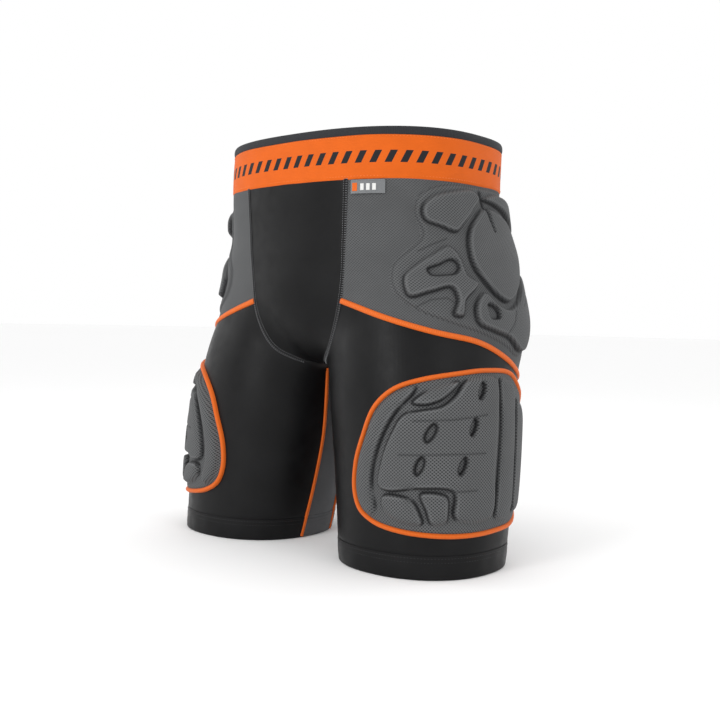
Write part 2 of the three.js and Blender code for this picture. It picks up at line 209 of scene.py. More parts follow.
def line_distance(u, v, points, closed):
    ends = np.roll(points, -1, 0) if closed else points[1:]
    best = np.full(u.shape, 1e9)
    for (ax, ay), (bx, by) in zip(points, ends):
        dx, dy = bx - ax, by - ay
        t = np.clip(((u - ax) * dx + (v - ay) * dy) / max(dx * dx + dy * dy, 1e-9), 0, 1)
        best = np.minimum(best, np.hypot(u - ax - t * dx, v - ay - t * dy))
    return best


def inside_distance(u, v, outline):
    """Distance to a closed outline, positive inside it."""
    inside = np.zeros(u.shape, bool)
    for (ax, ay), (bx, by) in zip(outline, np.roll(outline, -1, 0)):
        crosses = (ay > v) != (by > v)
        with np.errstate(divide="ignore", invalid="ignore"):
            inside ^= crosses & (u < (bx - ax) * (v - ay) / (by - ay) + ax)
    return np.where(inside, 1, -1) * line_distance(u, v, outline, True)


def step(x, low, high):
    t = np.clip((x - low) / (high - low), 0, 1)
    return t * t * (3 - 2 * t)


def dome(x, width):
    """Rises like a quarter circle from 0 to 1 over the width."""
    t = np.clip(x / width, 0, 1)
    return np.sqrt(1 - (1 - t) ** 2)


# ---- node materials -------------------------------------------------------------------
def linear(*srgb):
    """An 8-bit sRGB colour as linear values."""
    v = np.array(srgb) / 255
    return tuple(np.where(v > 0.04045, ((v + 0.055) / 1.055) ** 2.4, v / 12.92)) + (1.0,)


class Shader:
    """A Principled material whose nodes are added by name and wired by call."""

    def __init__(self, name, roughness=0.7, specular=0.3, sheen=0.0, sheen_roughness=0.5,
                 sheen_tint=(1, 1, 1, 1)):
        self.material = bpy.data.materials.new(name)
        self.material.use_nodes = True
        self.tree = self.material.node_tree
        self.surface = self.tree.nodes["Principled BSDF"]
        self.set("Roughness", roughness)
        self.set("Specular IOR Level", specular)
        self.set("Sheen Weight", sheen)
        self.set("Sheen Roughness", sheen_roughness)
        self.set("Sheen Tint", sheen_tint)

    def plug(self, socket, value):
        if isinstance(value, bpy.types.NodeSocket):
            self.tree.links.new(value, socket)
        else:
            socket.default_value = value

    def set(self, socket, value):
        self.plug(self.surface.inputs[socket], value)

    def node(self, kind, **settings):
        made = self.tree.nodes.new("ShaderNode" + kind)
        for key, value in settings.items():
            setattr(made, key, value)
        return made

    def math(self, operation, a, b=0.0):
        made = self.node("Math", operation=operation)
        self.plug(made.inputs[0], a)
        self.plug(made.inputs[1], b)
        return made.outputs[0]

    def blend(self, share, a, b):
        made = self.node("Mix", data_type="RGBA")
        self.plug(made.inputs[0], share)
        self.plug(made.inputs[6], a)
        self.plug(made.inputs[7], b)
        return made.outputs[2]

    def ramp(self, value, low, high, start=0.0, end=1.0):
        made = self.node("MapRange", interpolation_type="SMOOTHSTEP")
        for socket, number in zip(made.inputs, (value, low, high, start, end)):
            self.plug(socket, number)
        return made.outputs[0]

    def attribute(self, name):
        return self.node("Attribute", attribute_name=name)

    def cloth(self):
        """The cloth's own coordinates in millimetres: along and across."""
        split = self.node("SeparateXYZ")
        self.plug(split.inputs[0], self.attribute("weave").outputs["Vector"])
        return split.outputs[0], split.outputs[1]

    def wave(self, value, pitch, phase=0.0):
        turns = self.math("MULTIPLY_ADD", value, 2 * math.pi / pitch)
        turns.node.inputs[2].default_value = phase
        return self.math("SINE", turns)

    def noise(self, scale, detail=3.0):
        made = self.node("TexNoise")
        self.plug(made.inputs["Vector"], self.attribute("weave").outputs["Vector"])
        self.plug(made.inputs["Scale"], scale)
        self.plug(made.inputs["Detail"], detail)
        return made.outputs["Fac"]

    def bump(self, height, strength, distance_mm):
        made = self.node("Bump")
        self.plug(made.inputs["Strength"], strength)
        self.plug(made.inputs["Distance"], distance_mm * MM)
        self.plug(made.inputs["Height"], height)
        self.set("Normal", made.outputs[0])


def mesh_fabric(name, base, hole, pitch, roughness=0.8, relief=0.35):
    """Knitted mesh: a diagonal lattice of threads round small holes, with painted shade in the
    grooves.
    """
    s = Shader(name, roughness, specular=0.12, sheen=0.08, sheen_roughness=0.4)
    along_u, along_v = s.cloth()
    lattice = s.math("MULTIPLY", s.wave(along_u, pitch), s.wave(along_v, pitch))
    holes = s.ramp(lattice, -0.15, 0.55)
    colour = s.blend(holes, base, hole)
    mottled = s.blend(s.ramp(s.noise(0.035), 0.3, 0.75, 0.0, 0.35), colour,
                      tuple(0.62 * c for c in base[:3]) + (1.0,))
    painted_shade = s.attribute("groove_shade").outputs["Fac"]
    # a band just inside each block's edge, drawn lighter
    crest_band = s.attribute("ridge").outputs["Fac"]
    lighter = tuple(min(1.25 * c + 0.012, 1.0) for c in base[:3]) + (1.0,)
    edged = s.blend(s.math("MULTIPLY", crest_band, 0.5), mottled, lighter)
    # painted shade: near-black wherever the groove mask is set
    s.set("Base Color", s.blend(painted_shade, edged, (0.006, 0.006, 0.007, 1)))
    threads = s.math("SUBTRACT", 1.0, holes)
    fibre = s.math("MULTIPLY", s.noise(1.8, 2.0), 0.4)
    s.bump(s.math("ADD", threads, fibre), 0.55, relief)
    return s.material


def smooth_knit(name, base, roughness, sheen, pitch=1.1):
    """Stretch knit: fine upright wales, satin surface, faint tonal bands."""
    s = Shader(name, roughness, specular=0.15, sheen=sheen, sheen_roughness=0.3)
    along_u, along_v = s.cloth()
    wales = s.math("MULTIPLY", s.wave(along_u, pitch), 0.6)
    loops = s.math("MULTIPLY", s.wave(along_v, pitch * 0.8), 0.4)
    tone = s.ramp(s.noise(0.02), 0.3, 0.7, 0.0, 0.5)
    lighter = tuple(min(1.7 * c + 0.002, 1.0) for c in base[:3]) + (1.0,)
    # painted shade: near-black wherever a groove mask is set
    painted_shade = s.attribute("groove_shade").outputs["Fac"]
    s.set("Base Color", s.blend(painted_shade, s.blend(tone, base, lighter), (0.003, 0.003, 0.003, 1)))
    s.set("Roughness", s.ramp(s.noise(0.08), 0.2, 0.8, roughness - 0.06, roughness + 0.08))
    s.bump(s.math("ADD", wales, loops), 0.25, 0.12)
    return s.material


def ribbed_elastic(name, base, print_colour):
    """Woven elastic: fine level ribs, with a plain band of slanted dashes printed on it."""
    s = Shader(name, 0.7, specular=0.15, sheen=0.05, sheen_roughness=0.4)
    along_u, along_v = s.cloth()
    ribs = s.wave(along_v, 1.5)
    warp = s.math("MULTIPLY", s.wave(along_u, 1.0), 0.35)
    slanted = s.math("MULTIPLY", along_v, -0.45)
    turns = s.math("DIVIDE", s.math("ADD", along_u, slanted), DASH_PITCH)
    dash = s.math("LESS_THAN", s.math("FRACT", turns), DASH_SHARE)
    level = s.math("LESS_THAN", s.math("ABSOLUTE", s.math("SUBTRACT", along_v, DASH_MIDDLE)),
                   DASH_HALF)
    printed = s.math("MULTIPLY", dash, level)
    shade = s.blend(s.ramp(s.noise(0.05), 0.3, 0.8, 0.0, 0.25), base,
                    tuple(0.72 * c for c in base[:3]) + (1.0,))
    s.set("Base Color", s.blend(printed, shade, print_colour))
    s.bump(s.math("ADD", ribs, warp), 0.35, 0.16)
    return s.material


def cord_fabric(name, base, pitch=1.3, roughness=0.55):
    """Bias tape round a cord: fine ribs across its length, with painted shade in the troughs."""
    s = Shader(name, roughness, specular=0.2, sheen=0.05, sheen_roughness=0.4)
    along_u, _ = s.cloth()
    ribs = s.wave(along_u, pitch)
    # painted shade: darker in the troughs between the ribs
    shade = s.blend(s.ramp(ribs, -1.0, 0.2, 0.45, 0.0), base,
                    tuple(0.6 * c for c in base[:3]) + (1.0,))
    s.set("Base Color", shade)
    s.bump(ribs, 0.5, 0.2)
    return s.material


def plain_thread(name, base, roughness=0.45):
    s = Shader(name, roughness, specular=0.25, sheen=0.08)
    along_u, _ = s.cloth()
    s.set("Base Color", s.blend(s.ramp(s.wave(along_u, 0.7), -1, 1, 0.0, 0.3), base,
                                tuple(0.5 * c for c in base[:3]) + (1.0,)))
    return s.material


WAIST_LENGTH = 852.0
DASH_PITCH, DASH_SHARE, DASH_MIDDLE, DASH_HALF = WAIST_LENGTH / 58, 0.46, BELT + 22.0, 6.0
ORANGE = linear(206, 91, 18)
materials = {
    "knit": smooth_knit("black_knit", linear(12, 12, 13), 0.38, 0.0),
    "pouch": smooth_knit("pouch_knit", linear(5, 5, 6), 0.42, 0.0),
    "inside": smooth_knit("inside_knit", linear(18, 18, 19), 0.75, 0.02),
    "hip": mesh_fabric("hip_mesh", linear(87, 88, 89), linear(62, 63, 64), 2.7, relief=0.25),
    "gusset": mesh_fabric("gusset_mesh", linear(96, 97, 99), linear(76, 77, 79), 2.2),
    "hip_pad": mesh_fabric("hip_pad_mesh", linear(92, 93, 94), linear(54, 55, 56), 3.0,
                           relief=0.4),
    "pad": mesh_fabric("pad_mesh", linear(96, 97, 98), linear(44, 45, 46), 3.15, relief=0.5),
    "elastic": ribbed_elastic("orange_elastic", ORANGE, linear(32, 33, 36)),
    "edge": cord_fabric("dark_edge", linear(42, 43, 46), pitch=1.6, roughness=0.75),
    "piping": cord_fabric("orange_piping", linear(214, 98, 26)),
    "thread": plain_thread("black_thread", linear(30, 30, 32)),
    "pale_thread": plain_thread("grey_thread", linear(104, 105, 107)),
    "orange_thread": plain_thread("orange_thread", linear(226, 112, 44)),
    "seam": smooth_knit("seam_tape", linear(16, 16, 17), 0.6, 0.0, pitch=0.9),
    "label": mesh_fabric("label_weave", linear(128, 130, 132), linear(104, 106, 108), 0.9),
    "pale": plain_thread("pale_thread", linear(214, 214, 212)),
}


# ---- making meshes --------------------------------------------------------------------
def closed_solid(quads, p, n, inner, outer, weave, extras=None):
    """Two faces of a thin solid over the quads, joined round every open edge."""
    count = len(p)
    lower = quads[:, ::-1] + count
    starts, ends = quads.ravel(), np.roll(quads, -1, 1).ravel()
    free = ~np.isin(starts * count + ends, ends * count + starts)
    a, b = starts[free], ends[free]
    rim = np.stack([b, a, a + count, b + count], -1)
    faces = np.concatenate([quads, lower, rim])
    verts = np.concatenate([p + n * outer[:, None], p + n * inner[:, None]])
    side = np.repeat([0, 1, 0], [len(quads), len(lower), len(rim)])
    first = quads[len(quads) // 2]
    turned = np.cross(p[first[1]] - p[first[0]], p[first[3]] - p[first[0]]) @ n[first[0]] < 0
    if turned:
        faces = faces[:, ::-1]
    doubled = {k: np.concatenate([v, v]) for k, v in (extras or {}).items()}
    return {"verts": verts, "faces": faces, "side": side,
            "weave": np.concatenate([weave, weave]), "extras": doubled}


def grid_quads(rows, cols, wrap=False):
    index = np.arange(rows * cols).reshape(rows, cols)
    left = index if wrap else index[:, :-1]
    right = np.roll(index, -1, 1) if wrap else index[:, 1:]
    return np.stack([left[:-1], right[:-1], right[1:], left[1:]], -1).reshape(-1, 4)


def cloth_sheet(skin, thickness=FABRIC, wrap=False, weave=None, relief=None, extras=None):
    """A fabric sheet over a grid of skin points."""
    p, n = skin
    rows, cols = p.shape[:2]
    if weave is None:
        weave = unrolled(p)
    lift = np.zeros((rows, cols)) if relief is None else relief
    flat_extras = {k: v.ravel() for k, v in (extras or {}).items()}
    return closed_solid(grid_quads(rows, cols, wrap), p.reshape(-1, 3), n.reshape(-1, 3),
                        (lift + thickness[0]).ravel(), (lift + thickness[1]).ravel(),
                        weave.reshape(-1, 2), flat_extras)


def unrolled(p):
    """Cloth coordinates of a grid: length along each row, and the height."""
    steps = np.linalg.norm(np.diff(p, axis=1), axis=-1)
    run = np.concatenate([np.zeros((len(p), 1)), np.cumsum(steps, 1)], 1)
    run -= run[:, run.shape[1] // 2][:, None]
    return np.stack([run, p[..., 2]], -1)


def join(parts):
    """Several solids as one mesh."""
    offset, faces = 0, []
    for part in parts:
        faces.append(part["faces"] + offset)
        offset += len(part["verts"])
    keys = set().union(*(part["extras"] for part in parts))
    extras = {k: np.concatenate([part["extras"].get(k, np.zeros(len(part["verts"])))
                                 for part in parts]) for k in keys}
    return {"verts": np.concatenate([part["verts"] for part in parts]),
            "faces": np.concatenate(faces),
            "side": np.concatenate([part["side"] for part in parts]),
            "weave": np.concatenate([part["weave"] for part in parts]), "extras": extras}


def build(name, solid, outside, inside=None, mirror=False, crease=50):
    """Makes the Blender object of a solid, on the left or mirrored to the right."""
    verts = solid["verts"] * (-1 if mirror else 1, 1, 1) + (0, Y_SHIFT, 0)
    faces = solid["faces"][:, ::-1] if mirror else solid["faces"]
    mesh = bpy.data.meshes.new(name)
    mesh.from_pydata((verts * MM).tolist(), [], faces.tolist())
    mesh.polygons.foreach_set("use_smooth", np.ones(len(faces), bool))
    mesh.set_sharp_from_angle(angle=math.radians(crease))
    weave = mesh.attributes.new("weave", "FLOAT_VECTOR", "POINT")
    flat = np.zeros((len(verts), 3), np.float32)
    flat[:, :2] = solid["weave"]
    weave.data.foreach_set("vector", flat.ravel())
    for key, values in solid["extras"].items():
        layer = mesh.attributes.new(key, "FLOAT", "POINT")
        layer.data.foreach_set("value", values.astype(np.float32))
    mesh.materials.append(materials[outside])
    if inside:
        mesh.materials.append(materials[inside])
        mesh.polygons.foreach_set("material_index", solid["side"].astype(np.int32))
    obj = bpy.data.objects.new(name, mesh)
    bpy.context.scene.collection.objects.link(obj)
    return obj


def place(obj, nodes=(), leg=None, body="yoke"):
    """Hangs the piece on its body, or on a leg leaves it where it is; hides the CAD parts it
    stands for.
    """
    if leg:
        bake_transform(obj)
    else:
        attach(obj, body)
    if nodes:
        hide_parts(*nodes)
    return obj


def pair(name, solid, outside, nodes=(), inside=None, on_leg=False, crease=50):
    """The same piece on both sides; nodes are CAD names without their side."""
    made = []
    for side, sign in SIDES:
        obj = build(f"{name}_{side}", solid, outside, inside, sign < 0, crease)
        place(obj, [f"{n}_{side}" for n in nodes], side if on_leg else None)
        made.append(obj)
    return made


ARCH_POINTS = 8                 # even, so that an end cap is made of whole quads


def sweep(p, n, width, height, base=0.0, closed=False, ends=0.0):
    """A piping or seam: a flattened arch swept along skin points."""
    tangent = (np.roll(p, -1, 0) - np.roll(p, 1, 0)) if closed else np.gradient(p, axis=0)
    tangent /= np.linalg.norm(tangent, axis=-1, keepdims=True)
    across = np.cross(n, tangent)
    across /= np.linalg.norm(across, axis=-1, keepdims=True)
    turn = np.linspace(0, math.pi, ARCH_POINTS)
    arch = np.stack([np.cos(turn) * width / 2, base + np.sin(turn) ** 0.75 * height], -1)
    foot = np.array([[-width / 2, base - 0.5], [width / 2, base - 0.5]])
    ring = np.concatenate([arch, foot])
    shrink = np.ones(len(p))
    if ends:
        run = np.concatenate([[0], np.cumsum(np.linalg.norm(np.diff(p, axis=0), axis=-1))])
        shrink = np.clip(np.minimum(run, run[-1] - run) / ends, 0.05, 1) ** 0.5
    verts = (p[:, None] + across[:, None] * (ring[None, :, :1] * shrink[:, None, None])
             + n[:, None] * ring[None, :, 1:])
    rows, cols = verts.shape[:2]
    index = np.arange(rows * cols).reshape(rows, cols)
    after = np.roll(index, -1, 0) if closed else index[1:]
    here = index if closed else index[:-1]
    faces = np.stack([here, np.roll(here, -1, 1), np.roll(after, -1, 1), after], -1).reshape(-1, 4)
    run = np.concatenate([[0], np.cumsum(np.linalg.norm(np.diff(p, axis=0), axis=-1))])
    weave = np.stack(np.broadcast_arrays(run[:, None], ring[None, :, 0]), -1)
    solid = {"verts": verts.reshape(-1, 3), "faces": faces, "side": np.zeros(len(faces), int),
             "weave": weave.reshape(-1, 2), "extras": {}}
    if not closed:
        half = np.array([[k, k + 1, cols - 2 - k, cols - 1 - k] for k in range(cols // 2 - 1)])
        solid["faces"] = np.concatenate([faces, index[0][half][:, ::-1], index[-1][half]])
        solid["side"] = np.zeros(len(solid["faces"]), int)
    return solid


def evenly(p, n, pitch, closed=False):
    """Points, normals and directions at an even pitch along skin points."""
    q = np.concatenate([p, p[:1]]) if closed else p
    m = np.concatenate([n, n[:1]]) if closed else n
    run = np.concatenate([[0], np.cumsum(np.linalg.norm(np.diff(q, axis=0), axis=-1))])
    count = max(int(run[-1] / pitch), 1)
    at = (np.arange(count) + 0.5) * run[-1] / count
    point = np.stack([np.interp(at, run, q[:, k]) for k in range(3)], -1)
    normal = np.stack([np.interp(at, run, m[:, k]) for k in range(3)], -1)
    ahead = np.stack([np.interp(at + 0.3, run, q[:, k]) for k in range(3)], -1)
    behind = np.stack([np.interp(at - 0.3, run, q[:, k]) for k in range(3)], -1)
    direction = ahead - behind
    direction /= np.linalg.norm(direction, axis=-1, keepdims=True)
    normal /= np.linalg.norm(normal, axis=-1, keepdims=True)
    return point, normal, direction


STITCH_RING = np.array([[math.cos(a), math.sin(a)] for a in np.linspace(0, 2 * math.pi, 6, False)])


def stitches(point, normal, direction, length, thick=0.55, lift=1.5):
    """A row of thread stitches: short rounded pieces that dip into the cloth at both ends."""
    across = np.cross(normal, direction)
    stations = np.linspace(-1, 1, 5)
    swell = np.sqrt(np.maximum(1 - stations**2, 0.04))[:, None]
    verts = (point[:, None, None]
             + direction[:, None, None] * (stations * length / 2)[None, :, None, None]
             + across[:, None, None] * (swell * STITCH_RING[:, 0] * thick)[None, ..., None]
             + normal[:, None, None] * (lift - 0.5 * stations[:, None] ** 2
                                        + swell * STITCH_RING[:, 1] * thick * 0.7
                                        )[None, ..., None])
    count, rows, cols = verts.shape[:3]
    one = grid_quads(rows, cols, wrap=True)
    caps = np.array([[0, 1, 2, 3], [0, 3, 4, 5]])
    one = np.concatenate([one, caps[:, ::-1], caps + (rows - 1) * cols])
    faces = (one[None] + (np.arange(count) * rows * cols)[:, None, None]).reshape(-1, 4)
    run = np.arange(count)[:, None, None] * length + (stations * length / 2)[None, :, None]
    weave = np.stack(np.broadcast_arrays(run, STITCH_RING[None, None, :, 0]), -1)
    return {"verts": verts.reshape(-1, 3), "faces": faces,
            "side": np.zeros(len(faces), int), "weave": weave.reshape(-1, 2), "extras": {}}


def spread(start, stop, pitch):
    return np.linspace(start, stop, max(int(abs(stop - start) / pitch), 2) + 1)


# ---- waistband ------------------------------------------------------------------------
def waistband():
    angle = np.linspace(90, 450, 300, endpoint=False)
    z = spread(BELT, HEIGHT - TOP_EDGE, 1.6)
    level = (z - BELT) / (HEIGHT - TOP_EDGE - BELT)
    a, zz = np.meshgrid(angle, z)
    p, n = waist_skin(a, zz)
    bulge = 0.4 * np.sin(math.pi * level)[:, None] + 0.2 * np.sin(np.radians(a) * 9 + zz * 0.05)
    round_edge = -0.8 * (1 - dome(np.minimum(level, 1 - level)[:, None] * 40, 1.6))
    ring = np.concatenate([p, p[:, :1]], 1)
    length = np.cumsum(np.linalg.norm(np.diff(ring, axis=1), axis=-1), 1)
    run = np.concatenate([0 * length[:, :1], length[:, :-1]], 1) * WAIST_LENGTH / length[:, -1:]
    weave = np.stack([run, zz], -1)
    solid = cloth_sheet((p, n), (0.2, 2.3), True, weave, bulge + round_edge)
    solid["verts"][:, 2] = np.clip(solid["verts"][:, 2], BELT - 0.4, HEIGHT - TOP_EDGE + 0.5)
    place(build("waistband", solid, "elastic", "inside"), ["waistband_elastic"])

    edge_z = spread(HEIGHT - TOP_EDGE - 0.6, HEIGHT - 0.3, 0.9)
    t = (edge_z - edge_z[0]) / (edge_z[-1] - edge_z[0])
    a, zz = np.meshgrid(angle, edge_z)
    p, n = waist_skin(a, zz)
    roll = 1.1 * np.sin(math.pi * t)[:, None] ** 0.6 - 0.6 + 0 * a
    weave = np.stack([np.radians(a) * 138, zz], -1)
    solid = cloth_sheet((p, n), (0.0, 2.4), True, weave, roll)
    solid["verts"][:, 2] = np.minimum(solid["verts"][:, 2], HEIGHT)
    place(build("waistband_edge", solid, "edge"), ["waistband_top_edge"])

    for k, height in enumerate((HEIGHT - TOP_EDGE - 2.0, BELT + 3.0)):
        p, n = waist_skin(angle, np.full(len(angle), height))
        row = stitches(*evenly(p, n, 3.4, True), 2.6, 0.35, 2.35)
        place(build(f"waistband_stitch_{k}", row, "orange_thread"))

    x, z = np.meshgrid(np.linspace(-5, 5, 10), spread(BELT + 1, HEIGHT - TOP_EDGE - 0.6, 2))
    tape = cloth_sheet(face_skin(x, z, 1), (2.2, 3.0), False, np.stack([x, z - 40], -1))
    place(build("waistband_join", tape, "piping"))
    tacks = []
    for x in (-3.2, 3.2):
        p, n = face_skin(np.full(60, x), np.linspace(BELT + 2, HEIGHT - TOP_EDGE - 2, 60), 1)
        point, normal, direction = evenly(p, n, 2.2)
        lean = direction + 0.9 * np.cross(normal, direction) * np.where(
            np.arange(len(point)) % 2, 1, -1)[:, None]
        lean /= np.linalg.norm(lean, axis=-1, keepdims=True)
        tacks.append(stitches(point, normal, lean, 2.8, 0.35, 3.05))
    place(build("waistband_join_stitch", join(tacks), "orange_thread"))


def label():
    """The small woven label, with a plain bar pattern in relief."""
    low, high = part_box("size_label")
    x = spread(low.x / MM + 0.4, high.x / MM - 0.4, 0.8)
    z = spread(low.z / MM + 0.2, high.z / MM - 0.1, 0.8)
    xx, zz = np.meshgrid(x, z)
    p, n = face_skin(xx, zz, -1)
    curl = 0.5 * ((z - z[-1]) / (z[0] - z[-1]))[:, None] ** 2 + 0 * xx
    solid = cloth_sheet((p, n), (2.4, 3.0), False, np.stack([xx, zz], -1), curl)
    fold = sweep(p[-1], n[-1], 1.6, 0.7, 2.6, ends=0.6)
    tag = build("label_tag", join([solid, fold]), "label")
    place(tag, ["size_label"], body="size_label")
    square = (slice(3, -3), slice(2, 9))
    p1, n1 = p[square], n[square]
    mark = cloth_sheet((p1, n1), (2.9, 3.25), False, np.stack([xx, zz], -1)[square],
                       curl[square])
    place(build("label_patch", mark, "piping"), body="size_label")
    bars = []
    for start in (12, 19, 26):
        bar = (slice(4, -4), slice(start, start + 5))
        bars.append(cloth_sheet((p[bar], n[bar]), (2.9, 3.2), False,
                                np.stack([xx, zz], -1)[bar], curl[bar]))
    place(build("label_bars", join(bars), "pale"), body="size_label")


# ---- yoke fabric ----------------------------------------------------------------------
SEAM = 6.0


def edge_dip(*distances):
    """Cloth dips towards a seam line."""
    nearest = np.minimum.reduce(distances)
    return -0.5 * np.exp(-(nearest / 2.2) ** 2)


def pouch():
    b = np.linspace(0, 1, 110)
    a = np.linspace(-1, 1, 84)
    aa, bb = np.meshgrid(a, b)
    foot = 200.5 + 3.5 * aa**2
    z = foot + (BELT + 3 - foot) * bb
    half = along(POUCH, z)
    x = half * aa
    p, n = face_skin(x, z, -1)
    bulge = 7.0 * np.exp(-((z - 268) / 52) ** 2) * (1 - aa**2) ** 1.2
    folds = 0.35 * np.sin(z * 0.16 + 5 * aa**2) * (1 - aa**2) * step(z, 230, 205)
    relief = bulge + folds + edge_dip(half * (1 - np.abs(aa)))
    weave = np.stack([x, z], -1)
    solid = cloth_sheet((p, n), FABRIC, False, weave, relief)
    place(build("pouch", solid, "pouch", "inside"), ["front_pouch"])
    inner = (slice(4, None), slice(3, -3))
    lining = cloth_sheet((p[inner], n[inner]), (-2.2, -1.2), False, weave[inner])
    place(build("pouch_lining", lining, "inside"), ["front_pouch_lining"])

    z = np.concatenate([np.linspace(BELT + 2, 214, 70), np.linspace(212, 201, 14)])
    x = along(POUCH, z)
    p, n = face_skin(x, z, -1)
    seam = sweep(p, n, SEAM - 1.4, 0.9, 1.0)
    point, normal, direction = evenly(p, n, 2.3)
    across = np.cross(normal, direction)
    rungs = [stitches(point + across * 0.9, normal, across, 2.2, 0.34, 2.15)]
    for offset in (-1.9, 2.0):
        rungs.append(stitches(point + across * offset, normal, direction, 1.5, 0.34, 1.95))
    pair("pouch_seam", seam, "seam", ["pouch_seam"])
    pair("pouch_stitch", join(rungs), "pale_thread")


def hip_panel():
    rows, cols = 100, 170
    a, b = np.meshgrid(np.linspace(0, 1, cols), np.linspace(0, 1, rows))
    high = BELT + 3
    z = np.full(a.shape, 300.0)
    for _ in range(14):
        front = seam_angle(POUCH, -1, z, 0)
        angle = front + (seam_angle(SEAT, 1, z, 0) - front) * a
        z = 0.4 * z + 0.6 * (hip_line(angle) + (high - hip_line(angle)) * b)
    p, n = leg_skin(angle, z)
    weave = np.stack([-np.radians(angle) * ARC, z], -1)
    span = np.radians(seam_angle(SEAT, 1, z, 0) - front) * 110
    relief = edge_dip(a * span, (1 - a) * span, (high - hip_line(angle)) * b)
    relief += 0.5 * np.sin(weave[..., 0] * 0.06 + weave[..., 1] * 0.04) * step(b, 0, 0.2)
    solid = cloth_sheet((p, n), FABRIC, False, weave, relief)
    pair("hip_panel", solid, "hip", ["hip_panel"], inside="inside")

    front = float(seam_angle(POUCH, -1, np.array(262.0), SEAM / 2))
    back = float(seam_angle(SEAT, 1, np.array(205.0), 0))
    angle = np.linspace(front, back, 220)
    p, n = leg_skin(angle, hip_line(angle))
    piping = sweep(p, n, 6.0, 2.4, 1.0)
    pair("hip_piping", piping, "piping", ["hip_piping"])
    point, normal, direction = evenly(p, n, 2.1)
    rungs = stitches(point, normal, np.cross(normal, direction), 4.4, 0.42, 3.2)
    pair("hip_piping_stitch", rungs, "orange_thread")


def seat_panel():
    aa, z = np.meshgrid(np.linspace(-1, 1, 90), np.linspace(201, BELT + 3, 110))
    half = along(SEAT, z)
    x = half * aa
    p, n = face_skin(x, z, 1)
    relief = edge_dip(half * (1 - np.abs(aa)))
    cleft = -2.5 * np.exp(-(x / 9) ** 2) * step(z, 300, 230)
    solid = cloth_sheet((p, n), FABRIC, False, np.stack([x, z], -1), relief + cleft)
    place(build("seat_panel", solid, "knit", "inside"), ["seat_panel"])
    z = np.linspace(BELT + 2, 203, 90)
    p, n = face_skin(along(SEAT, z), z, 1)
    point, normal, direction = evenly(p, n, 3.2)
    rows = []
    for offset in (-2.2, 2.2):
        shifted = point + np.cross(normal, direction) * offset
        rows.append(stitches(shifted, normal, direction, 2.4, 0.42, 1.5))
    pair("seat_stitch", join(rows), "thread")


def crotch_gusset():
    x, angle = np.meshgrid(np.linspace(-6.5, 6.5, 14), np.linspace(-60, 60, 90))
    p, n = crotch_skin(x, angle)
    weave = np.stack([x, angle * 1.2], -1)
    solid = cloth_sheet((p, n), FABRIC, False, weave)
    place(build("crotch_gusset", solid, "gusset", "inside"), ["crotch_gusset"])


# ---- pads -----------------------------------------------------------------------------
def slot_outline(u, v, length, width, lean):
    half = length / 2
    return [[u + lean, v + half], [u + width / 2, v + half * 0.4],
            [u - lean + width / 2, v - half * 0.6], [u - lean, v - half],
            [u - width / 2, v - half * 0.4], [u + lean - width / 2, v + half * 0.6]]


HIP_PAD = {
    "edge": [
        [16, 384], [55, 381], [74, 370], [80, 352], [76, 330], [104, 300], [106, 274], [88, 255],
        [60, 243], [30, 234], [8, 227], [-14, 219], [-28, 212], [-44, 211], [-58, 224], [-84, 250],
        [-104, 280], [-100, 310], [-86, 335], [-88, 358], [-70, 376], [-34, 383]],
    "blocks": {
        "upper_front": [[64, 368], [44, 375], [21, 378], [14, 371], [23, 359], [37, 343],
                        [46, 334], [60, 339], [72, 345], [73, 357]],
        "upper_rear": [[5, 371], [-16, 378], [-46, 376], [-68, 366], [-78, 350], [-70, 341],
                       [-58, 348], [-38, 360], [-14, 367]],
        "centre": [[8, 361], [20, 351], [31, 336], [36, 317], [33, 300], [21, 284], [3, 270],
                   [-12, 266], [-32, 279], [-48, 304], [-52, 330], [-40, 350], [-12, 361]],
        "front": [[96, 287], [86, 299], [70, 311], [55, 319], [47, 309], [42, 292], [31, 283],
                  [46, 265], [50, 250], [58, 251], [54, 266], [58, 278], [76, 273], [94, 268]],
        "lower": [[24, 274], [8, 263], [-12, 258], [-30, 266], [-56, 290], [-72, 300],
                  [-90, 284], [-84, 266], [-62, 246], [-48, 226], [-38, 217], [-28, 218],
                  [-8, 230], [14, 236], [34, 244], [36, 260]],
    },
    "windows": [[[76, 296], [66, 301], [56, 306], [51, 304], [49, 298], [53, 292], [62, 290],
                 [74, 290]],
                [[23, 262], [10, 258], [8, 249], [21, 249]]],
    "creases": [[[81, 314], [68, 321], [55, 327]],
                [[90, 258], [76, 266], [62, 268], [55, 263], [60, 253]],
                [[-2, 232], [-14, 243], [-20, 256]], [[-40, 262], [-56, 272], [-74, 282]]],
    "slits": [[[8, 377], [4, 362], [0, 350], [-5, 338]]],
    "merged": False,
    "nodes": ["hip_pad_backing", "hip_pad_upper_front", "hip_pad_upper_rear", "hip_pad_centre",
              "hip_pad_front", "hip_pad_lower"],
}

